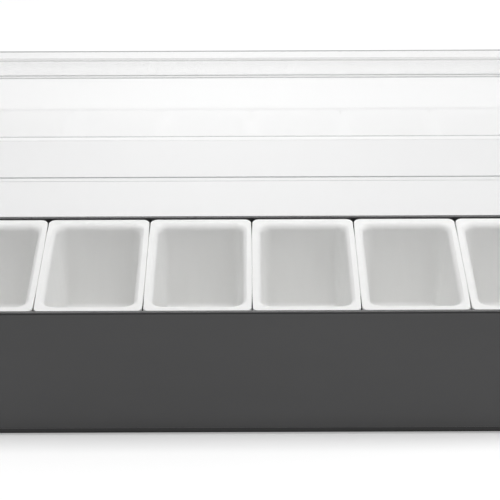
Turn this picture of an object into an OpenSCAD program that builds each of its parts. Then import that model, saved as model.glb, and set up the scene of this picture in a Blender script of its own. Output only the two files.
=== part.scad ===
// Condiment caddy: a long moulded tub that holds ice under a row of lift-out
// insert trays, closed by one clear faceted lid on a rear hinge.
// X runs along the row of trays, Y from the front to the hinge side, Z up.
// Millimetres. The modules are drawn about the middle of the tub's footprint, with
// the lid open, and the whole is moved so that the counter under the middle of the
// open caddy is the origin.

/* [Trays] */
// Number of insert trays in the row
tray_count = 6; // [2:1:8]
// Distance from one tray to the next
tray_pitch = 80; // [74:1:90]
// Gap between the flanges of two neighbouring trays, at mid length
tray_gap = 0.1; // [0.1:0.1:0.6]
// Flange length from front edge to rear edge
tray_flange_l = 137.2; // [120:0.2:150]
// Flange thickness
tray_flange_t = 3; // [2:0.5:4]
// Radius of the flange's corners in plan
tray_corner_r = 5.5; // [5.5:0.5:9]
// Taper of each long side of the flange towards its ends
tray_bow = 0.4; // [0.2:0.1:0.6]
// Length of the straight middle of each long side of the flange
tray_straight_l = 60; // [40:1:80]
// Flange width along each long side, up to the inside wall
tray_side_land = 6.8; // [6.4:0.2:9]
// Flange width at the front and rear, up to the inside wall
tray_end_land = 9.2; // [8:0.2:11]
// Depth from the flange's top to the inside floor
tray_depth = 71; // [50:0.5:76]
// Inside corner radius at the mouth
tray_mouth_r = 8.6; // [8:0.2:10]
// Draft of the walls in degrees
tray_draft = 4.2; // [2:0.1:4.4]
// Wall and floor thickness
tray_wall = 2; // [1.6:0.2:2.4]

/* [Tub] */
// Height from the counter to the rim
tub_h = 109; // [100:1:120]
// Width of the flat rim
rim_w = 4; // [3.5:0.5:5]
// Play between the tray flanges and the rim's inner face
rim_play = 0.4; // [0.3:0.1:0.8]
// How far the flanges sit below the rim
flange_sink = 1; // [0.8:0.1:2]
// Width of the ledge that carries the flanges
ledge_w = 4.4; // [3.5:0.1:4.6]
// Outer corner radius of the tub in plan
tub_corner_r = 10; // [9.5:0.5:10.5]
// Wall thickness
tub_wall = 3; // [2.5:0.5:4]
// Draft of the outer faces in degrees
tub_draft = 1; // [0.5:0.1:1.5]
// Height of the recessed plinth
plinth_h = 5.5; // [4:0.5:8]
// Depth of the recess round the plinth
plinth_in = 2.4; // [0.8:0.1:3]

/* [Lid] */
// Angle between closed and open
lid_swing = 90; // [80:1:95]
// Sheet thickness of the lid
lid_t = 2.5; // [2:0.1:3]
// Drop of the hinge axis below the rim
hinge_drop = 16; // [15:0.5:18]
// Distance of the hinge axis behind the tub's rear face
hinge_back = 4; // [4:0.5:6]
// Lift of the closed lid off the rim
lid_lift = 0.3; // [0.2:0.1:0.6]
// Distance of the first bend from the lid's rear edge
bend_1_reach = 27.7; // [24:0.1:36]
// Height of the first bend above the rear edge
bend_1_rise = 14.2; // [10:0.1:18]
// Distance of the second bend from the rear edge
bend_2_reach = 59.2; // [48:0.1:72]
// Height of the second bend above the rear edge
bend_2_rise = 24.1; // [20:0.1:28]
// Distance of the third bend from the rear edge
bend_3_reach = 112.8; // [96:0.1:120]
// Height of the third bend above the rear edge
bend_3_rise = 26.5; // [20:0.1:32]
// Width of the flat bevel along each bend
bend_w = 3; // [1:0.1:4]
// Depth of the lip that lies over the front rim
lip_l = 6.7; // [4:0.1:9]

/* [Hinge] */
// Distance of the middle of each hinge from the tub's end
hinge_in = 22.4; // [18:0.2:60]
// Width of the lid's ears
ear_w = 12; // [8:1:16]
// Thickness of each lug on the tub
lug_t = 6; // [4:0.5:8]
// Diameter of the hinge pins
pin_d = 3; // [2.5:0.5:4]

/* [Feet] */
// Diameter of the rubber feet
foot_d = 16; // [12:1:20]
// How far the feet stand out below the plinth
foot_out = 0.4; // [0.2:0.1:1]

/* [Hidden] */
$fn = 48;

lap = 0.5;            // how far joined shapes run into each other
spare = 1;            // how far a cutting shape runs past what it cuts
running_gap = 0.06;   // radial play of a pin in the lid
side_gap = 0.3;       // play beside each ear, and between an ear and the rim
seat_gap = 0.2;       // play under a flange that rests on the ledge

// Tray, measured from its own centre and down from its flange's top
tray_half_x = tray_pitch / 2 - tray_gap / 2;
tray_half_y = tray_flange_l / 2;
mouth_half_x = tray_half_x - tray_side_land;
mouth_half_y = tray_half_y - tray_end_land;
mouth_fillet_r = 5;
tray_floor_r = 3;
flange_edge_r = 0.6;
flange_under_r = 0.6;
flange_half_x = tray_half_x - tray_bow;
strip_w = 3.6;
bow_short = 0.6;      // the taper ends this far before the corner's arc
bow_tuck = 1;         // and dips under the swept edge this far before its end
bow_end_y = tray_half_y - tray_corner_r - bow_short;
bow_start_y = tray_straight_l / 2;
// a whole number, so that the arc and the straight edge meet face to face
bow_r = round(pow(bow_end_y - bow_tuck - bow_start_y, 2) / (2 * tray_bow));
bow_angle = asin((bow_end_y + bow_tuck - bow_start_y) / bow_r);
wall_strip = tray_side_land - tray_bow - flange_edge_r - 0.3; // flange on the swept wall
plate_in = flange_edge_r + 0.6; // flange plate's edge inside the flange's outline
plate_hole = wall_strip - 0.7;  // flange plate's hole outside the mouth's outline
tray_top_z = tub_h - flange_sink;

// Tub
rim_half_x = tray_count * tray_pitch / 2 + rim_play;
rim_half_y = tray_half_y + rim_play;
tub_half_x = rim_half_x + rim_w;
tub_half_y = rim_half_y + rim_w;
ledge_z = tray_top_z - tray_flange_t - seat_gap;
ledge_t = 3;
ledge_haunch = 4;
rim_edge_r = 1.2;
foot_edge_r = 1.2;
tub_floor_t = 3;
tub_floor_z = foot_out + 3;
tub_floor_r = 4;
rib_t = 2.4;
rib_h = 16;
rib_back = 0.8;       // rib's nose behind the ledge's edge
rib_nose = [1.5, 2];  // bevel of the rib's nose
rim_inner_r = 0.5;
wall_sink = 2;        // ribs and hinge brackets start this far inside the face
draft_in = (tub_h - plinth_h) * tan(tub_draft);

// Hinge and lid
hinge_y = tub_half_y + hinge_back;
hinge_z = tub_h - hinge_drop;
ear_r = hinge_back - side_gap;
hinge_x = tub_half_x - hinge_in;
pad_in = 0.1;         // hinge pads lie this far inside the rear face
pad_below = 3;        // and reach this far below the heel
heel_drop = 6;
heel_gap = 0.15;      // play between the heel and its pad, lid open
heel_out = hinge_back + pad_in - heel_gap;
heel_slope = 1.5;
lug_r = 5;
lug_rise = 1.5;       // root of a lug above the top of its eye
lug_end_x = ear_w / 2 + side_gap + lug_t;
pin_head_r = 2.6;
pin_head_t = 1.2;
pin_head_edge = 0.8;
lug_gusset = 16;
lid_half_x = tub_half_x - 1;
cheek_t = 2.5;
lid_over = 1.5;       // the closed lid reaches this far past the rear face
lip_in = 2;           // and its lip ends this far inside the front face
ear_root = [4, 1];    // depth of the ear's root in the sheet: forward, up
ear_shoulder = 6;     // height of the slope at the back of the ear

// Feet
foot_in_x = 30;
foot_in_y = 22;
foot_stub_d = 6;
foot_stub_h = 2;
foot_round = 1;
foot_x = tub_half_x - foot_in_x;
foot_y = tub_half_y - foot_in_y;

plastic_black = "#3b3b3d";
plastic_white = "#f2f2ef";
plastic_clear = [0.86, 0.9, 0.92, 0.4];
steel = "#b9bcc0";
rubber = "#1d1d1f";

// ---------------------------------------------------------------- helpers

function unit(v) = v / norm(v);

// The path with its first inner corners, count of them, cut by bevels of width w
function bevelled(path, count, w) = concat(
    [path[0]],
    [for (i = [1:count])
        let (
            into = unit(path[i] - path[i - 1]),
            out = unit(path[i + 1] - path[i]),
            cut = w / norm(into + out)
        )
        each [path[i] - cut * into, path[i] + cut * out]],
    [for (i = [count + 1:len(path) - 1]) path[i]]
);

function left_normal(a, b) = let (d = unit(b - a)) [-d[1], d[0]];

// The same path moved sideways by t, with mitred corners
function beside(path, t) = [
    for (i = [0:len(path) - 1])
        let (
            before = left_normal(path[max(i - 1, 0)], path[max(i, 1)]),
            last = len(path) - 1,
            after = left_normal(path[min(i, last - 1)], path[min(i + 1, last)])
        )
        path[i] + t * (before + after) / (1 + before * after)
];
function reversed(list) = [for (i = [len(list) - 1:-1:0]) list[i]];

// Sharp corner at the origin, filling the quadrant x < 0, y < 0, minus its round
module corner_waste(r) {
    difference() {
        translate([-r, -r]) square(r + spare);
        translate([-r, -r]) circle(r);
    }
}

// Sweeps a wall section round a rounded rectangle. In the section x is the
// distance out from the outline, and y is height.
module swept_ring(half_x, half_y, corner_r) {
    for (side = [0:3]) {
        along = side % 2 == 0 ? half_y - corner_r : half_x - corner_r;
        across = side % 2 == 0 ? half_x : half_y;
        rotate([0, 0, 90 * side]) {
            translate([across, along, 0]) rotate([90, 0, 0])
                linear_extrude(2 * along) children();
            translate([across - corner_r, along, 0])
                rotate_extrude(angle = 90) translate([corner_r, 0]) children();
        }
    }
}

module rounded_rectangle(half_x, half_y, corner_r) {
    square([2 * half_x, 2 * (half_y - corner_r)], center = true);
    square([2 * (half_x - corner_r), 2 * half_y], center = true);
    for (sx = [-1, 1], sy = [-1, 1])
        translate([sx * (half_x - corner_r), sy * (half_y - corner_r)]) circle(corner_r);
}

// Extrudes a section drawn in the Y-Z plane along X, about the middle
module along_x(length) {
    translate([-length / 2, 0, 0]) rotate([90, 0, 90]) linear_extrude(length) children();
}

// ---------------------------------------------------------------- trays

// Flange edge: a strip with a rounded upper edge, x out from the flange's outline
module flange_edge_section() {
    difference() {
        translate([-strip_w, -tray_flange_t]) square([strip_w, tray_flange_t]);
        corner_waste(flange_edge_r);
        mirror([0, 1]) translate([0, tray_flange_t]) corner_waste(flange_under_r);
    }
}

// Flange edge swept round its outline. Both long sides stand out by the taper: a
// straight middle, and a long shallow arc from each end of it to the corner.
module flange_edge() {
    swept_ring(flange_half_x, tray_half_y, tray_corner_r) flange_edge_section();
    for (side = [0, 180]) rotate([0, 0, side]) {
        translate([tray_half_x, bow_start_y, 0]) rotate([90, 0, 0])
            linear_extrude(2 * bow_start_y) flange_edge_section();
        intersection() {
            for (end = [-1, 1])
                translate([tray_half_x - bow_r, end * bow_start_y, 0])
                    rotate([0, 0, end < 0 ? -bow_angle : 0])
                        rotate_extrude(angle = bow_angle, $fn = 1440)
                            translate([bow_r, 0]) flange_edge_section();
            cube([2 * tray_pitch, 2 * bow_end_y, 2 * tray_depth], center = true);
        }
    }
}

// Half section of wall, mouth and floor, x out from the mouth's inner outline,
// y up from the flange's top
module tray_wall_section() {
    slope = tan(tray_draft);
    across = 1 / cos(tray_draft);
    facing = [cos(tray_draft), -sin(tray_draft)];
    deep = tray_depth + tray_wall;
    floor_end = -(tray_mouth_r - lap);
    mouth_center = [mouth_fillet_r * (across - slope), -mouth_fillet_r];
    floor_y = tray_floor_r - tray_depth;
    floor_center = [floor_y * slope - tray_floor_r * across, floor_y];
    difference() {
        polygon([
            [wall_strip, 0], [0, 0],
            [-tray_depth * slope, -tray_depth],
            [floor_end, -tray_depth], [floor_end, -deep],
            [tray_wall * across - deep * slope, -deep],
            [tray_wall * across - tray_flange_t * slope, -tray_flange_t],
            [wall_strip, -tray_flange_t]
        ]);
        // soft edge of the mouth
        difference() {
            polygon([
                mouth_center, [mouth_center[0], spare],
                [-2 * spare, spare], [-2 * spare, mouth_center[1]],
                mouth_center - mouth_fillet_r * facing
            ]);
            translate(mouth_center) circle(mouth_fillet_r);
        }
        // round outer edge of the floor
        difference() {
            polygon([
                floor_center, floor_center + (tray_floor_r + 2 * tray_wall) * facing,
                [0, -deep - spare], [floor_center[0], -deep - spare]
            ]);
            translate(floor_center) circle(tray_floor_r + tray_wall);
        }
    }
    // round inner edge of the floor
    difference() {
        polygon([
            floor_center, floor_center + tray_floor_r * facing,
            [lap - tray_depth * slope, -tray_depth - lap],
            [floor_center[0], -tray_depth - lap]
        ]);
        translate(floor_center) circle(tray_floor_r);
    }
}

module insert_tray(index) {
    center_x = (index - (tray_count + 1) / 2) * tray_pitch;
    floor_in = tray_mouth_r - 2 * lap;
    color(plastic_white) translate([center_x, 0, tray_top_z]) {
        flange_edge();
        translate([0, 0, -tray_flange_t]) linear_extrude(tray_flange_t) difference() {
            rounded_rectangle(flange_half_x - plate_in, tray_half_y - plate_in,
                tray_corner_r - plate_in);
            rounded_rectangle(mouth_half_x + plate_hole, mouth_half_y + plate_hole,
                tray_mouth_r + plate_hole);
        }
        swept_ring(mouth_half_x, mouth_half_y, tray_mouth_r) tray_wall_section();
        translate([0, 0, -tray_depth - tray_wall]) linear_extrude(tray_wall)
            square(2 * [mouth_half_x - floor_in, mouth_half_y - floor_in], center = true);
    }
}

// ---------------------------------------------------------------- tub

// Half section of the tub, x out from the rim's outer outline, y up
module tub_section() {
    slope = tan(tub_draft);
    ledge_x = -rim_w - ledge_w;
    haunch_y = ledge_z - ledge_t - ledge_haunch;
    floor_top = tub_floor_z + tub_floor_t;
    floor_end = -(tub_corner_r - lap);
    plinth_x = -draft_in - plinth_in;
    floor_y = floor_top + tub_floor_r;
    floor_center = [tub_outside(floor_y) - tub_wall - tub_floor_r, floor_y];
    difference() {
        polygon([
            [0, tub_h], [-rim_w, tub_h], [-rim_w, ledge_z],
            [ledge_x, ledge_z], [ledge_x, ledge_z - ledge_t],
            [tub_outside(haunch_y) - tub_wall, haunch_y],
            [tub_outside(floor_top) - tub_wall, floor_top],
            [floor_end, floor_top], [floor_end, tub_floor_z],
            [plinth_x - tub_wall, tub_floor_z], [plinth_x - tub_wall, foot_out],
            [plinth_x, foot_out], [plinth_x, plinth_h], [-draft_in, plinth_h]
        ]);
        translate([0, tub_h]) corner_waste(rim_edge_r);
        translate([-draft_in, plinth_h]) mirror([0, 1]) corner_waste(foot_edge_r);
        translate([-rim_w, tub_h]) mirror([1, 0]) corner_waste(rim_inner_r);
    }
    // round inner edge of the floor
    difference() {
        polygon([
            floor_center, floor_center + [tub_floor_r + lap, 0],
            floor_center + [tub_floor_r + lap, -tub_floor_r - lap],
            floor_center + [0, -tub_floor_r - lap]
        ]);
        translate(floor_center) circle(tub_floor_r);
    }
}

function tub_outside(height) = -(tub_h - height) * tan(tub_draft);

// Rib under the ledge between two trays, on the rear wall
module ledge_rib() {
    outer_y = tub_half_y - wall_sink;
    inner_y = tub_half_y - rim_w - ledge_w + rib_back;
    top_z = ledge_z - lap;
    nose_z = ledge_z - ledge_t - rib_back;
    along_x(rib_t) polygon([
        [outer_y, top_z], [inner_y, top_z], [inner_y, nose_z],
        [inner_y + rib_nose[0], nose_z - rib_nose[1]],
        [outer_y, ledge_z - ledge_t - rib_h]
    ]);
}

// Pad and two lugs of one hinge, on the rear wall, about the plane x = 0
module hinge_bracket() {
    base_y = tub_half_y - wall_sink;
    pad_y = tub_half_y - pad_in;
    pad_low_z = hinge_z - heel_drop - pad_below;
    pad_top_z = hinge_z + lug_r;
    along_x(2 * lug_end_x) polygon([
        [base_y, pad_low_z - spare], [pad_y, pad_low_z],
        [pad_y, pad_top_z], [base_y, pad_top_z + spare]
    ]);
    for (sx = [-1, 1]) translate([sx * (lug_end_x - lug_t / 2), 0, 0]) along_x(lug_t) {
        translate([hinge_y, hinge_z]) circle(lug_r);
        polygon([
            [base_y, hinge_z + lug_r + lug_rise], [hinge_y, hinge_z + lug_r],
            [hinge_y + lug_r * cos(45), hinge_z - lug_r * sin(45)],
            [base_y, hinge_z - lug_gusset]
        ]);
    }
}

module tub_housing() {
    floor_in = tub_corner_r - 2 * lap;
    color(plastic_black) difference() {
        union() {
            swept_ring(tub_half_x, tub_half_y, tub_corner_r) tub_section();
            translate([0, 0, tub_floor_z]) linear_extrude(tub_floor_t)
                square(2 * [tub_half_x - floor_in, tub_half_y - floor_in], center = true);
            for (side = [0, 180], i = [1:tray_count - 1])
                rotate([0, 0, side])
                    translate([(i - tray_count / 2) * tray_pitch, 0, 0]) ledge_rib();
            for (sx = [-1, 1]) translate([sx * hinge_x, 0, 0]) hinge_bracket();
        }
        for (sx = [-1, 1]) translate([sx * hinge_x, hinge_y, hinge_z])
            rotate([0, 90, 0])
                cylinder(h = 2 * (lug_end_x + spare), d = pin_d, center = true);
        for (sx = [-1, 1], sy = [-1, 1])
            translate([sx * foot_x, sy * foot_y, tub_floor_z - spare])
                cylinder(h = foot_stub_h + spare, d = foot_stub_d);
    }
}

// ---------------------------------------------------------------- lid

// Corners of the inside of the sheet, as [reach forward, rise] from the hinge axis
// with the lid closed: rear edge, three bends, crease of the lip, edge of the lip
lid_start = [hinge_back - lid_over, hinge_drop + lid_lift];
lip_end = [hinge_back + 2 * tub_half_y - lip_in, lid_start[1]];
lid_corners = [
    lid_start,
    lid_start + [bend_1_reach, bend_1_rise],
    lid_start + [bend_2_reach, bend_2_rise],
    lid_start + [bend_3_reach, bend_3_rise],
    lip_end - [lip_l, 0],
    lip_end
];
lid_inside = bevelled(lid_corners, 3, bend_w);
lid_outside = beside(lid_inside, lid_t);
function upto(list, last) = [for (i = [0:last]) list[i]];

// Draws points given as [reach forward, rise] in the Y-Z plane
module forward_polygon(points) {
    polygon([for (p = points) [-p[0], p[1]]]);
}

module lid_sheet_section() {
    forward_polygon(concat(lid_inside, reversed(lid_outside)));
}

// End wall under the sheet, down to the rim
module cheek_section() {
    crease = len(lid_inside) - 2;
    forward_polygon(
        concat(upto(lid_outside, crease), [lid_inside[crease], lid_inside[0]]));
}

// Ear round the hinge pin, with the heel that stops the open lid
module ear_section() {
    difference() {
        union() {
            circle(ear_r);
            forward_polygon([
                [ear_r, 0], [ear_r, lid_start[1] + lid_t / 2],
                lid_outside[0] + ear_root, lid_outside[0],
                [-ear_r, lid_start[1] - ear_shoulder], [-ear_r, 0]
            ]);
            forward_polygon([
                [0, 0], [0, -heel_out], [-heel_drop, -heel_out],
                [-heel_drop, -heel_slope], [-ear_r, 0]
            ]);
        }
        circle(pin_d / 2 + running_gap);
    }
}

module lid() {
    color(plastic_clear) translate([0, hinge_y, hinge_z]) rotate([-lid_swing, 0, 0]) {
        along_x(2 * lid_half_x) lid_sheet_section();
        for (sx = [-1, 1]) {
            translate([sx * (lid_half_x - cheek_t / 2), 0, 0]) along_x(cheek_t) cheek_section();
            translate([sx * hinge_x, 0, 0]) along_x(ear_w) ear_section();
        }
    }
}

// ---------------------------------------------------------------- small parts

// Headed pin pressed through both lugs of a hinge; side is -1 left or 1 right
module hinge_pin(side) {
    color(steel) translate([side * hinge_x, hinge_y, hinge_z]) rotate([0, 90 * side, 0]) {
        translate([0, 0, -lug_end_x]) cylinder(h = 2 * lug_end_x, d = pin_d);
        translate([0, 0, lug_end_x]) rotate_extrude() difference() {
            square([pin_head_r, pin_head_t]);
            translate([pin_head_r, pin_head_t]) corner_waste(pin_head_edge);
        }
    }
}

module foot(side_x, side_y) {
    color(rubber) translate([side_x * foot_x, side_y * foot_y, 0]) rotate_extrude() {
        difference() {
            square([foot_d / 2, tub_floor_z]);
            translate([foot_d / 2, 0]) mirror([0, 1]) corner_waste(foot_round);
        }
        square([foot_stub_d / 2, tub_floor_z + foot_stub_h]);
    }
}

// ---------------------------------------------------------------- placing

function open_y(p) = p[1] * sin(lid_swing) - p[0] * cos(lid_swing);
rear_y = hinge_y + max([for (p = lid_outside) open_y(p)]);
middle_y = round(5 * (rear_y - tub_half_y)) / 10;

// Moves a sub-part so that the middle of the open caddy's box stands on the origin
module placed() {
    translate([0, -middle_y, 0]) children();
}

placed() tub_housing();
for (i = [1:tray_count])
    placed() insert_tray(i);
placed() lid();
placed() hinge_pin(-1);  // hinge_pin_left
placed() hinge_pin(1);  // hinge_pin_right
placed() foot(-1, -1);  // foot_front_left
placed() foot(1, -1);  // foot_front_right
placed() foot(-1, 1);  // foot_rear_left
placed() foot(1, 1);  // foot_rear_right
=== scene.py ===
"""Looks of a counter caddy: an ice tub, six lift-out trays and one clear faceted lid.

Every length is in metres unless its name ends in _mm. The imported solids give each
place: X runs along the row of trays, Y from the front to the hinges, Z up.
"""

import logging
import math
from dataclasses import dataclass, field
from enum import Enum, IntEnum

import bmesh
import bpy
from mathutils import Matrix, Vector

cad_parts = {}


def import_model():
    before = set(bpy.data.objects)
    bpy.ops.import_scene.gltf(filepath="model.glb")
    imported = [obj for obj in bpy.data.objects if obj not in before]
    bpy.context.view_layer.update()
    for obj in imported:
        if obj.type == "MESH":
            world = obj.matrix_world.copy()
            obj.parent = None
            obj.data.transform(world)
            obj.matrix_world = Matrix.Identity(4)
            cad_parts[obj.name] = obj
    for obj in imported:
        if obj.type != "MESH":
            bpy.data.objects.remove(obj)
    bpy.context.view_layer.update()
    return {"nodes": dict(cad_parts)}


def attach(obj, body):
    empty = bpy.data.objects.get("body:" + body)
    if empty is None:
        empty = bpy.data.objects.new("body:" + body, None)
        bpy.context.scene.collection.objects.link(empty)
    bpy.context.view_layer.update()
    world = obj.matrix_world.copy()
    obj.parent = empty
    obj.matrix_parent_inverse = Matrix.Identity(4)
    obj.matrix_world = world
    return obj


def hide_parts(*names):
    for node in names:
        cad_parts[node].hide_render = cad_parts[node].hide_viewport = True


MM = 0.001

# A Mix node has sockets for each kind of value. These are the ones for colours.
MIX_A, MIX_B, MIX_RESULT = 6, 7, 2

# Nearly all the values of a noise lie between these two.
NOISE_LOW, NOISE_HIGH = 0.3, 0.7

Colour = tuple[float, float, float, float]
Triple = tuple[float, float, float]
Pair = tuple[float, float]

log = logging.getLogger("caddy")


# ------------------------------------------------------------------ nodes


def linear(hex_colour: str) -> Colour:
    """Turn an sRGB hex colour into linear values.

    Args:
        hex_colour: six hex digits after a #.

    Returns:
        Red, green, blue and an alpha of 1.
    """
    parts = [int(hex_colour[i : i + 2], 16) / 255 for i in (1, 3, 5)]
    red, green, blue = (
        p / 12.92 if p <= 0.04045 else ((p + 0.055) / 1.055) ** 2.4 for p in parts
    )
    return red, green, blue, 1.0


def per_metre(size_mm: float) -> float:
    """Give the texture scale at which one feature is size_mm across."""
    return 1 / (size_mm * MM)


def add_node(
    tree: bpy.types.NodeTree,
    kind: str,
    settings: dict[str | int, object] | None = None,
    links: dict[str | int, bpy.types.NodeSocket] | None = None,
) -> bpy.types.Node:
    """Add one shader node.

    Args:
        tree: the node tree that takes it.
        kind: the part of the node's type name after ShaderNode.
        settings: attributes by name, or values of inputs by name or index.
        links: output sockets to join to its inputs, by name or index.

    Returns:
        The new node.
    """
    node = tree.nodes.new("ShaderNode" + kind)
    for name, value in (settings or {}).items():
        if isinstance(name, int) or name in node.inputs:
            node.inputs[name].default_value = value
        else:
            setattr(node, name, value)
    for name, socket in (links or {}).items():
        tree.links.new(socket, node.inputs[name])
    return node


def over_noise(low: float, high: float) -> dict[str | int, object]:
    """Give the settings at which a MapRange node spreads a noise from low to high."""
    noise = {"From Min": NOISE_LOW, "From Max": NOISE_HIGH}
    return {**noise, "To Min": low, "To Max": high}


def mottle(
    tree: bpy.types.NodeTree,
    size_mm: float,
    detail: float = 2.0,
    stretch: Triple = (1, 1, 1),
) -> bpy.types.NodeSocket:
    """Lay a cloudy pattern that stays on the piece as it moves.

    Args:
        tree: the material's node tree.
        size_mm: width of one feature.
        detail: octaves of finer noise on top.
        stretch: how much longer a feature is along X, Y and Z.

    Returns:
        The pattern's value.
    """
    place = add_node(tree, "TexCoord").outputs["Object"]
    scale = {"Scale": tuple(1 / s for s in stretch)}
    place = add_node(tree, "Mapping", scale, {"Vector": place}).outputs["Vector"]
    settings = {"Scale": per_metre(size_mm), "Detail": detail}
    return add_node(tree, "TexNoise", settings, {"Vector": place}).outputs["Fac"]


def tint(
    tree: bpy.types.NodeTree, pattern: bpy.types.NodeSocket, first: str, second: str
) -> bpy.types.NodeSocket:
    """Vary a colour over a pattern.

    Args:
        tree: the material's node tree.
        pattern: the pattern's value.
        first: hex colour where the pattern is low.
        second: hex colour where it is high.

    Returns:
        The varied colour.
    """
    share = add_node(tree, "MapRange", over_noise(0, 1), {"Value": pattern})
    settings = {"data_type": "RGBA", MIX_A: linear(first), MIX_B: linear(second)}
    mixed = add_node(tree, "Mix", settings, {0: share.outputs["Result"]})
    return mixed.outputs[MIX_RESULT]


def seen_or_lit(
    tree: bpy.types.NodeTree, lit: float, seen: float
) -> bpy.types.NodeSocket:
    """Choose a value by what a ray is for.

    Args:
        tree: the node tree that takes the choice.
        lit: value for rays that light the object.
        seen: value for rays from the camera, mirrored or refracted ones too.

    Returns:
        The chosen value.
    """
    ray = add_node(tree, "LightPath")
    either = ray.outputs["Is Camera Ray"]
    for name in ("Is Glossy Ray", "Is Transmission Ray"):
        links = {0: either, 1: ray.outputs[name]}
        either = add_node(tree, "Math", {"operation": "MAXIMUM"}, links).outputs[0]
    settings = {"To Min": lit, "To Max": seen}
    return add_node(tree, "MapRange", settings, {"Value": either}).outputs["Result"]


# ------------------------------------------------------------------ finishes


@dataclass(frozen=True)
class Finish:
    """One surface: what it is made of, and how it was made.

    Its roughness varies within a range, and its relief is depth_mm high, drawn at the
    strength that bump gives. A metal keeps the IOR given here, Blender's own.
    """

    name: str
    ior: float = 1.5
    roughness: Pair = (0.4, 0.5)
    depth_mm: float = 0.0
    bump: float = 0.0

    def material(self) -> bpy.types.Material:
        """Build the material.

        Returns:
            The finished material.
        """
        material = bpy.data.materials.new(self.name)
        material.use_nodes = True
        tree = material.node_tree
        tree.nodes.clear()
        add_node(tree, "OutputMaterial", None, {"Surface": self.surface(tree)})
        return material

    def surface(self, tree: bpy.types.NodeTree) -> bpy.types.NodeSocket:
        """Add the surface's nodes and give its shader."""
        raise NotImplementedError

    def shade(
        self,
        tree: bpy.types.NodeTree,
        settings: dict[str | int, object],
        links: dict[str | int, bpy.types.NodeSocket],
        handled: bpy.types.NodeSocket,
        relief: bpy.types.NodeSocket | None = None,
    ) -> bpy.types.NodeSocket:
        """Add the main shader, rough by one pattern and raised by another.

        Args:
            tree: the material's node tree.
            settings: values of the shader that are the same all over.
            links: sockets to join to it.
            handled: the pattern that its roughness follows.
            relief: the pattern that is raised, if any.

        Returns:
            The shader.
        """
        spread = over_noise(*self.roughness)
        rough = add_node(tree, "MapRange", spread, {"Value": handled})
        links = {"Roughness": rough.outputs["Result"], **links}
        if relief is not None:
            height = {"Distance": self.depth_mm * MM, "Strength": self.bump}
            raised = add_node(tree, "Bump", height, {"Height": relief})
            links["Normal"] = raised.outputs["Normal"]
        settings = {"IOR": self.ior, **settings}
        return add_node(tree, "BsdfPrincipled", settings, links).outputs["BSDF"]


@dataclass(frozen=True)
class MouldedAbs(Finish):
    """ABS, injection moulded in a spark-eroded tool: an even satin black.

    The eroded grain is about 0.1 mm, too fine to show, so it is drawn at 0.7 mm. It
    breaks the reflection of the counter into a soft sheen without sparkle. The recess
    round the foot is coloured darker: painted shade under the overhang of the shell.
    """

    name: str = "abs_moulded_satin_black"
    ior: float = 1.54
    roughness: Pair = (0.17, 0.23)
    depth_mm: float = 0.02
    bump: float = 0.5
    colour: str = "#373738"
    bloom: str = "#3b3b3c"
    bloom_mm: float = 60.0
    grain_mm: float = 0.7
    # Painted shade: the recess round the foot takes this darker colour.
    recess_shade: str = "#151516"
    shade_top_mm: Pair = (5.5, 6.1)

    def surface(self, tree: bpy.types.NodeTree) -> bpy.types.NodeSocket:
        """Colour the walls, paint shade into the recess, and raise the grain.

        Args:
            tree: the material's node tree.

        Returns:
            The surface's shader.
        """
        cloud = mottle(tree, self.bloom_mm, stretch=(3, 1, 1))
        grain = mottle(tree, self.grain_mm, detail=3)
        place = add_node(tree, "TexCoord").outputs["Object"]
        height = add_node(tree, "SeparateXYZ", None, {"Vector": place}).outputs["Z"]
        # Below this band the colour turns to the painted shade of the recess.
        low, high = (top * MM for top in self.shade_top_mm)
        edge = {"From Min": low, "From Max": high}
        above_shade = add_node(tree, "MapRange", edge, {"Value": height})
        wall = tint(tree, cloud, self.colour, self.bloom)
        settings = {"data_type": "RGBA", MIX_A: linear(self.recess_shade)}
        links = {0: above_shade.outputs["Result"], MIX_B: wall}
        black = add_node(tree, "Mix", settings, links).outputs[MIX_RESULT]
        return self.shade(tree, {}, {"Base Color": black}, grain, grain)


@dataclass(frozen=True)
class MouldedPolypropylene(Finish):
    """Polypropylene, injection moulded in a bead-blasted tool: a soft satin white.

    A little light goes into the wall, which softens edges and corners. Faint flow
    lines, some 9 mm apart, run down the walls and only show in the reflections.
    Handling leaves cloudy marks, some 2.5 mm wide, slightly duller or glossier.
    """

    name: str = "polypropylene_moulded_white"
    ior: float = 1.49
    roughness: Pair = (0.46, 0.54)
    depth_mm: float = 0.03
    bump: float = 0.3
    colour: str = "#f6f6f5"
    flow: str = "#f8f8f7"
    flow_mm: float = 9.0
    handling_mm: float = 2.5
    subsurface: float = 0.3
    reach_mm: float = 1.5

    def surface(self, tree: bpy.types.NodeTree) -> bpy.types.NodeSocket:
        """Let light into the wall, and lay the flow lines and the handling.

        Args:
            tree: the material's node tree.

        Returns:
            The surface's shader.
        """
        streaks = mottle(tree, self.flow_mm, stretch=(1, 1, 6))
        handling = mottle(tree, self.handling_mm, detail=4)
        settings = {
            "Subsurface Weight": self.subsurface,
            "Subsurface Radius": (1, 1, 1),
            "Subsurface Scale": self.reach_mm * MM,
        }
        white = tint(tree, streaks, self.colour, self.flow)
        return self.shade(tree, settings, {"Base Color": white}, handling, streaks)


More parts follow.
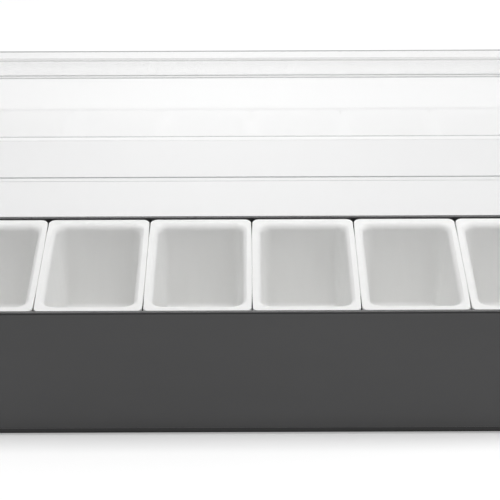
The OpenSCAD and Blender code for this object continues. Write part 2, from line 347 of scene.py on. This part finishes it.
@dataclass(frozen=True)
class MouldedPolycarbonate(Finish):
    """Polycarbonate, moulded clear and polished: sharp reflections, a faint grey body.

    Lamps shine through it, less what its faces reflect, so that it casts the pale
    shadow of a clear sheet. Waves some 40 mm long bend its reflections slightly, and
    wiping leaves marks some 6 mm wide, drawn out along the lid.
    """

    name: str = "polycarbonate_moulded_clear"
    ior: float = 1.58
    roughness: Pair = (0.015, 0.05)
    depth_mm: float = 0.05
    bump: float = 0.3
    colour: str = "#ececec"
    lamp_light: str = "#f4f5f5"
    wave_mm: float = 40.0
    wipe_mm: float = 6.0

    def surface(self, tree: bpy.types.NodeTree) -> bpy.types.NodeSocket:
        """Make a clear sheet that lamps shine through.

        Args:
            tree: the material's node tree.

        Returns:
            The surface's shader.
        """
        waves = mottle(tree, self.wave_mm, detail=0, stretch=(2, 1, 1))
        wiping = mottle(tree, self.wipe_mm, detail=4, stretch=(5, 1, 1))
        settings = {"Base Color": linear(self.colour), "Transmission Weight": 1.0}
        sheet = self.shade(tree, settings, {}, wiping, waves)
        passed = add_node(tree, "BsdfTransparent", {"Color": linear(self.lamp_light)})
        shadow = add_node(tree, "LightPath").outputs["Is Shadow Ray"]
        links = {0: shadow, 1: sheet, 2: passed.outputs["BSDF"]}
        return add_node(tree, "MixShader", None, links).outputs["Shader"]


@dataclass(frozen=True)
class CreasedPolycarbonate(Finish):
    """The same polycarbonate in a fine dull grey line along each rounded bend.

    The line scatters light instead of passing it, and its grey is painted shade for
    the dark line that each bend of the clear lid shows. Its specks are some 1.2 mm
    wide, drawn out along it.
    """

    name: str = "polycarbonate_crease_painted_shade"
    ior: float = 1.58
    roughness: Pair = (0.3, 0.5)
    # Painted shade: this grey stands in for the dark line at each bend.
    colour: str = "#c9cbcc"
    speck_mm: float = 1.2
    clear: float = 0.55

    def surface(self, tree: bpy.types.NodeTree) -> bpy.types.NodeSocket:
        """Make a half-clear line with dull specks.

        Args:
            tree: the material's node tree.

        Returns:
            The surface's shader.
        """
        specks = mottle(tree, self.speck_mm, stretch=(8, 1, 1))
        colour = linear(self.colour)
        settings = {"Base Color": colour, "Transmission Weight": self.clear}
        return self.shade(tree, settings, {}, specks)


@dataclass(frozen=True)
class TrimmedPolycarbonate(Finish):
    """Polycarbonate where the sheet's edge is trimmed: a frosted pale grey.

    Its fine tears are some 0.8 mm wide, drawn out along the edge. They scatter all the
    light, so the edge looks solid and pale, not glassy.
    """

    name: str = "polycarbonate_trimmed_frosted"
    ior: float = 1.58
    roughness: Pair = (0.4, 0.6)
    colour: str = "#bebfbf"
    worn: str = "#b2b3b3"
    tear_mm: float = 0.8

    def surface(self, tree: bpy.types.NodeTree) -> bpy.types.NodeSocket:
        """Give the edge its fine tears.

        Args:
            tree: the material's node tree.

        Returns:
            The surface's shader.
        """
        tears = mottle(tree, self.tear_mm, detail=3, stretch=(6, 1, 1))
        grey = tint(tree, tears, self.worn, self.colour)
        return self.shade(tree, {}, {"Base Color": grey}, tears)


@dataclass(frozen=True)
class PaintedFoldPolycarbonate(Finish):
    """Polycarbonate with a thin milky veil at the lip's fold.

    The veil is painted shade, for the grey line that the fold shows. Fine flecks, some
    1.5 mm wide, drawn out across the fold, hold back part of the light.
    """

    name: str = "polycarbonate_fold_painted_line"
    ior: float = 1.58
    roughness: Pair = (0.4, 0.55)
    # Painted shade: the veil's milky colour stands in for the fold's grey line.
    colour: str = "#f4f5f5"
    veil_dark: str = "#e6e7e7"
    fleck_mm: float = 1.5
    veil: float = 0.24

    def surface(self, tree: bpy.types.NodeTree) -> bpy.types.NodeSocket:
        """Lay the painted milky veil with fine flecks.

        Args:
            tree: the material's node tree.

        Returns:
            The surface's shader.
        """
        veil_flecks = mottle(tree, self.fleck_mm, detail=3, stretch=(1, 3, 3))
        milk = tint(tree, veil_flecks, self.veil_dark, self.colour)
        return self.shade(tree, {"Alpha": self.veil}, {"Base Color": milk}, veil_flecks)


@dataclass(frozen=True)
class DrawnSteel(Finish):
    """Zinc-plated steel wire, drawn: fine lines along the pin blur its highlight."""

    name: str = "steel_drawn_zinc_plated"
    roughness: Pair = (0.25, 0.4)
    depth_mm: float = 0.01
    bump: float = 0.4
    colour: str = "#b8babc"
    dull: str = "#9a9c9f"
    line_mm: float = 0.25

    def surface(self, tree: bpy.types.NodeTree) -> bpy.types.NodeSocket:
        """Give the metal its drawn lines.

        Args:
            tree: the material's node tree.

        Returns:
            The surface's shader.
        """
        lines = mottle(tree, self.line_mm, stretch=(30, 1, 1))
        zinc = tint(tree, lines, self.dull, self.colour)
        return self.shade(tree, {"Metallic": 1.0}, {"Base Color": zinc}, lines, lines)


@dataclass(frozen=True)
class MouldedRubber(Finish):
    """Nitrile rubber, compression moulded: matt black, paler where it is dusty."""

    name: str = "rubber_moulded_black"
    ior: float = 1.52
    roughness: Pair = (0.65, 0.85)
    depth_mm: float = 0.05
    bump: float = 0.4
    colour: str = "#1c1c1d"
    dust: str = "#2b2b2c"
    dust_mm: float = 3.0
    grain_mm: float = 0.5

    def surface(self, tree: bpy.types.NodeTree) -> bpy.types.NodeSocket:
        """Give the grained black its dust.

        Args:
            tree: the material's node tree.

        Returns:
            The surface's shader.
        """
        dust = mottle(tree, self.dust_mm, detail=4)
        grain = mottle(tree, self.grain_mm)
        black = tint(tree, dust, self.colour, self.dust)
        return self.shade(tree, {}, {"Base Color": black}, dust, grain)


@dataclass(frozen=True)
class Oval:
    """An oval on the floor, by its middle and its half width and half depth."""

    x: float
    y: float
    wide: float
    deep: float

    def reach(self, tree: bpy.types.NodeTree) -> bpy.types.NodeSocket:
        """Measure how far out a point of the floor is, where the oval's rim is 1.

        Args:
            tree: the floor's node tree.

        Returns:
            The measure.
        """
        place = add_node(tree, "TexCoord").outputs["Object"]
        settings = {
            "Location": (-self.x / self.wide, -self.y / self.deep, 0),
            "Scale": (1 / self.wide, 1 / self.deep, 1),
        }
        place = add_node(tree, "Mapping", settings, {"Vector": place})
        links = {0: place.outputs["Vector"]}
        length = add_node(tree, "VectorMath", {"operation": "LENGTH"}, links)
        return length.outputs["Value"]


@dataclass(frozen=True)
class PaintedBoard(Finish):
    """Board painted matt white, the floor: it shows soft shadows and no gloss.

    Its open part is the white background. The glow that makes it white is for the
    camera and doesn't light the caddy. It is dimmer round the caddy, a painted shadow,
    and brighter in a painted pool of light behind it.
    """

    name: str = "board_painted_matt_white"
    colour: str = "#f4f4f4"
    glow_near: float = 0.305
    glow_far: float = 0.41
    painted_pool_glow: float = 0.11
    # Painted shadow: the glow is dimmer inside this oval round the caddy.
    painted_shadow_round: Oval = Oval(0, 0, 0.30, 0.11)
    # Painted pool of light: the glow is brighter inside this oval behind the caddy.
    painted_light_pool: Oval = Oval(-0.05, 0.48, 0.36, 0.6)

    def surface(self, tree: bpy.types.NodeTree) -> bpy.types.NodeSocket:
        """Paint the board, and add its glow, with a painted shadow and a painted pool
        of light.

        Args:
            tree: the material's node tree.

        Returns:
            The surface's shader.
        """
        settings = {"operation": "DIVIDE", 0: 1.0}
        share = add_node(tree, "Math", settings, {1: self.painted_shadow_round.reach(tree)})
        settings = {"To Min": self.glow_far, "To Max": self.glow_near}
        bright = add_node(tree, "MapRange", settings, {"Value": share.outputs[0]})
        settings = {
            "interpolation_type": "SMOOTHSTEP",
            "To Min": self.painted_pool_glow,
            "To Max": 0.0,
        }
        painted_light_pool = add_node(tree, "MapRange", settings, {"Value": self.painted_light_pool.reach(tree)})
        links = {0: bright.outputs["Result"], 1: painted_light_pool.outputs["Result"]}
        glow = add_node(tree, "Math", {"operation": "ADD"}, links).outputs[0]
        links = {0: seen_or_lit(tree, lit=0.0, seen=1.0), 1: glow}
        seen = add_node(tree, "Math", {"operation": "MULTIPLY"}, links).outputs[0]
        light = add_node(tree, "Emission", None, {"Strength": seen})
        paint = add_node(tree, "BsdfDiffuse", {"Color": linear(self.colour)})
        links = {0: paint.outputs["BSDF"], 1: light.outputs["Emission"]}
        return add_node(tree, "AddShader", None, links).outputs["Shader"]


def dress(piece: bpy.types.Object, *finishes: bpy.types.Material) -> None:
    """Put materials on a piece in place of those it came with.

    Args:
        piece: the object to dress.
        finishes: one material for each slot, in order.
    """
    slots = piece.data.materials
    for index, finish in enumerate(finishes):
        if index < len(slots):
            slots[index] = finish
        else:
            slots.append(finish)
    log.info("%s: %s", piece.name, ", ".join(m.name for m in finishes))


# ------------------------------------------------------------------ the caddy


class Body(str, Enum):
    """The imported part's bodies that new pieces ride on."""

    LID = "lid"


class Slot(str, Enum):
    """A material slot of the record, for the lid; no piece here takes its finish from
    it.
    """

    LID = "lid_plastic"


class LidFace(IntEnum):
    """The kinds of face that the lid has, numbered as its materials are."""

    CLEAR = 0
    CREASE = 1
    EDGE = 2
    FOLD = 3


@dataclass
class Tub:
    """The moulded tub with its hinge pins and rubber feet."""

    nodes: dict[str, bpy.types.Object]
    shell: MouldedAbs = field(default_factory=MouldedAbs)
    pins: DrawnSteel = field(default_factory=DrawnSteel)
    feet: MouldedRubber = field(default_factory=MouldedRubber)

    def dress(self) -> None:
        """Give the shell, each pin and each foot its finish."""
        dress(self.nodes["tub_housing"], self.shell.material())
        steel, rubber = self.pins.material(), self.feet.material()
        for name, node in self.nodes.items():
            if name.startswith("hinge_pin"):
                dress(node, steel)
            elif name.startswith("foot"):
                dress(node, rubber)


@dataclass
class Trays:
    """The lift-out insert trays."""

    nodes: dict[str, bpy.types.Object]
    finish: MouldedPolypropylene = field(default_factory=MouldedPolypropylene)

    def dress(self) -> None:
        """Give every tray the same moulded white."""
        white = self.finish.material()
        for name, node in self.nodes.items():
            if name.startswith("insert_tray"):
                dress(node, white)


@dataclass
class Lid:
    """The clear faceted lid, with its bends softly rounded.

    Each bend is a pair of creases, one on each face of the sheet. The widths of their
    rounding run from the hinge to the lip, and are the same on both faces. A crease
    turns by crease_turn at least, the lip's fold by fold_turn, and an edge of the
    sheet by edge_turn.
    """

    nodes: dict[str, bpy.types.Object]
    crease_widths_mm: tuple[float, ...] = (0.25, 0.9, 0.1, 0.35, 0.4, 0.8)
    crease_steps: int = 3
    crease_turn: float = math.radians(3)
    fold_width_mm: float = 3.9
    fold_turn: float = math.radians(30)
    edge_turn: float = math.radians(50)
    long_edge: float = 0.4
    trim_width_mm: float = 2.8
    weld_mm: float = 0.002
    flat: float = math.radians(0.4)
    clear: MouldedPolycarbonate = field(default_factory=MouldedPolycarbonate)
    dull: CreasedPolycarbonate = field(default_factory=CreasedPolycarbonate)
    frosted: TrimmedPolycarbonate = field(default_factory=TrimmedPolycarbonate)
    milky: PaintedFoldPolycarbonate = field(default_factory=PaintedFoldPolycarbonate)

    def build(self) -> bpy.types.Object:
        """Round the creases of a copy of the solid sheet, and sort its faces.

        Returns:
            The lid's shell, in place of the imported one.
        """
        mesh = self.nodes["lid"].data.copy()
        mesh.name = "lid_shell"
        form = bmesh.new()
        form.from_mesh(mesh)
        bmesh.ops.remove_doubles(form, verts=form.verts, dist=self.weld_mm * MM)
        bmesh.ops.dissolve_limit(
            form, angle_limit=self.flat, verts=form.verts, edges=form.edges
        )
        self.frost_edges(form)
        self.round_creases(form)
        self.paint_fold_line(form)
        form.to_mesh(mesh)
        form.free()
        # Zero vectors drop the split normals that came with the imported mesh.
        mesh.normals_split_custom_set([(0, 0, 0)] * len(mesh.loops))
        shell = bpy.data.objects.new("lid_shell", mesh)
        bpy.context.scene.collection.objects.link(shell)
        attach(shell, Body.LID.value)
        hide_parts("lid")
        return shell

    def frost_edges(self, form: bmesh.types.BMesh) -> None:
        """Mark the long faces that are no wider than the sheet is thick.

        Args:
            form: the sheet.
        """
        for face in form.faces:
            length = max(edge.calc_length() for edge in face.edges)
            narrow = face.calc_area() < self.trim_width_mm * MM * length
            if length > self.long_edge and narrow:
                face.material_index = LidFace.EDGE

    def long_bends(
        self, form: bmesh.types.BMesh, least: float, most: float
    ) -> list[bmesh.types.BMEdge]:
        """List the long edges that turn by a given range of angles.

        Args:
            form: the sheet.
            least: smallest turn.
            most: largest turn.

        Returns:
            Those edges.
        """
        return [
            edge
            for edge in form.edges
            if len(edge.link_faces) == 2
            and edge.calc_length() > self.long_edge
            and least < edge.calc_face_angle() < most
        ]

    def round_creases(self, form: bmesh.types.BMesh) -> None:
        """Round the sheet's shallow bends into dull lines.

        Args:
            form: the sheet.
        """
        creases = self.long_bends(form, self.crease_turn, self.fold_turn)
        log.info("lid: %d creases", len(creases))
        creases.sort(key=lambda edge: (edge.is_convex, edge.verts[0].co.z))
        widths_mm = self.crease_widths_mm * 2
        for crease, width_mm in zip(creases, widths_mm, strict=True):
            bmesh.ops.bevel(
                form,
                geom=[crease],
                offset=width_mm * MM / 2,
                segments=self.crease_steps,
                profile=0.5,  # a round one
                affect="EDGES",
                material=LidFace.CREASE,
                clamp_overlap=True,
            )

    def paint_fold_line(self, form: bmesh.types.BMesh) -> None:
        """Cut a narrow band on the back of the sheet, under the lip's fold, for the
        painted veil.

        Args:
            form: the sheet.
        """
        fold = self.fold(form)
        middle = (fold.verts[0].co + fold.verts[1].co) / 2
        panel = max(fold.link_faces, key=lambda face: face.calc_area())
        way = (panel.calc_center_bounds() - middle).normalized()
        parts = {p for f in fold.link_faces for p in (f, *f.edges, *f.verts)}
        bmesh.ops.bisect_plane(
            form,
            geom=list(parts),
            plane_co=middle + way * self.fold_width_mm * MM,
            plane_no=way,
        )
        band = min(self.fold(form).link_faces, key=lambda face: face.calc_area())
        band.material_index = LidFace.FOLD

    def fold(self, form: bmesh.types.BMesh) -> bmesh.types.BMEdge:
        """Find the edge of the lip's fold on the back of the sheet."""
        turned = self.long_bends(form, self.fold_turn, self.edge_turn)
        return next(edge for edge in turned if not edge.is_convex)

    def dress(self, shell: bpy.types.Object) -> None:
        """Give each kind of the lid's faces its finish.

        Args:
            shell: the lid's shell.
        """
        finishes = {
            LidFace.CLEAR: self.clear,
            LidFace.CREASE: self.dull,
            LidFace.EDGE: self.frosted,
            LidFace.FOLD: self.milky,
        }
        dress(shell, *(finishes[kind].material() for kind in LidFace))


# ------------------------------------------------------------------ the studio


@dataclass
class Camera:
    """A long lens that looks down on the front of the caddy."""

    place: Triple = (-0.0014, -1.2758, 0.8426)
    down: float = math.radians(30.024)
    roll: float = math.radians(-0.22)
    lens_mm: float = 137.76
    sensor_mm: float = 36.0

    def build(self) -> None:
        """Set up the camera and make it the scene's."""
        data = bpy.data.cameras.new("camera")
        data.lens = self.lens_mm
        data.sensor_width = self.sensor_mm
        camera = bpy.data.objects.new("camera", data)
        turn = Matrix.Rotation(math.pi / 2 - self.down, 4, "X")
        turn = turn @ Matrix.Rotation(self.roll, 4, "Z")
        camera.matrix_world = Matrix.Translation(Vector(self.place)) @ turn
        bpy.context.scene.collection.objects.link(camera)
        bpy.context.scene.camera = camera


class Unlit(Enum):
    """What a lamp leaves alone, as the name of the setting that turns it off."""

    GLOSS = "visible_glossy"
    PAINT = "visible_diffuse"


@dataclass(frozen=True)
class Lamp:
    """A large soft lamp, which at no tilt shines straight down.

    Its tilt is about X, its size is a width and a depth, and its power is in watts.
    """

    name: str
    place: Triple
    tilt: float
    size: Pair
    power: float
    leaves: Unlit

    def build(self) -> None:
        """Hang the lamp."""
        data = bpy.data.lights.new(self.name, "AREA")
        data.shape = "RECTANGLE"
        data.size, data.size_y = self.size
        data.energy = self.power
        lamp = bpy.data.objects.new(self.name, data)
        lamp.location = self.place
        lamp.rotation_euler.x = self.tilt
        setattr(lamp, self.leaves.value, False)
        bpy.context.scene.collection.objects.link(lamp)


@dataclass
class Studio:
    """A plain pale floor under large soft lamps, in a white room.

    The overhead lamp is wide along the row and narrow across it, so that the walls of
    the trays get paler toward their floors. The rear one only shows in gloss. In
    reflections the room turns dark toward the front, as behind a camera, while the Y
    of the direction falls from the second to the first of room_turns.
    """

    floor_half: float = 6.0
    floor_paint: PaintedBoard = field(default_factory=PaintedBoard)
    room_light: float = 0.42
    room_dark: float = 0.1
    room_turns: Pair = (-0.45, -0.15)
    overhead: Lamp = Lamp(
        name="overhead",
        place=(1.1, -0.05, 1.6),
        tilt=0,
        size=(3.8, 0.5),
        power=26.4,
        leaves=Unlit.GLOSS,
    )
    rear: Lamp = Lamp(
        name="rear",
        place=(0, 2.6, 1.7),
        tilt=math.radians(-57),
        size=(1.6, 0.6),
        power=5.2,
        leaves=Unlit.PAINT,
    )

    def build(self) -> None:
        """Make the floor, the lamps and the room."""
        self.floor()
        self.overhead.build()
        self.rear.build()
        self.room()

    def floor(self) -> None:
        """Lay the floor."""
        mesh = bpy.data.meshes.new("floor")
        half = self.floor_half
        ends = [(-half, -half, 0), (half, -half, 0), (half, half, 0), (-half, half, 0)]
        mesh.from_pydata(ends, [], [(0, 1, 2, 3)])
        mesh.materials.append(self.floor_paint.material())
        floor = bpy.data.objects.new("floor", mesh)
        bpy.context.scene.collection.objects.link(floor)

    def room(self) -> None:
        """Surround everything with even light, seen as a white background."""
        world = bpy.data.worlds.new("white_room")
        world.use_nodes = True
        tree = world.node_tree
        tree.nodes.clear()
        way = add_node(tree, "TexCoord").outputs["Generated"]
        parts = add_node(tree, "SeparateXYZ", None, {"Vector": way})
        dark, light = self.room_turns
        settings = {"From Min": dark, "From Max": light, "To Min": self.room_dark}
        mirrored = add_node(tree, "MapRange", settings, {"Value": parts.outputs["Y"]})
        links = {
            "Factor": add_node(tree, "LightPath").outputs["Is Glossy Ray"],
            "A": seen_or_lit(tree, lit=self.room_light, seen=1.0),
            "B": mirrored.outputs["Result"],
        }
        strength = add_node(tree, "Mix", None, links).outputs["Result"]
        shine = add_node(tree, "Background", None, {"Strength": strength})
        links = {"Surface": shine.outputs["Background"]}
        add_node(tree, "OutputWorld", None, links)
        bpy.context.scene.world = world
        bpy.context.scene.view_settings.view_transform = "Standard"


# ------------------------------------------------------------------ all together


def main() -> None:
    """Build and dress the caddy, and light it."""
    logging.basicConfig(level=logging.INFO, format="%(name)s: %(message)s")
    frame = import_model()
    nodes = frame["nodes"]
    Camera().build()
    Studio().build()
    Tub(nodes).dress()
    Trays(nodes).dress()
    lid = Lid(nodes)
    lid.dress(lid.build())


if __name__ == "__main__":
    main()
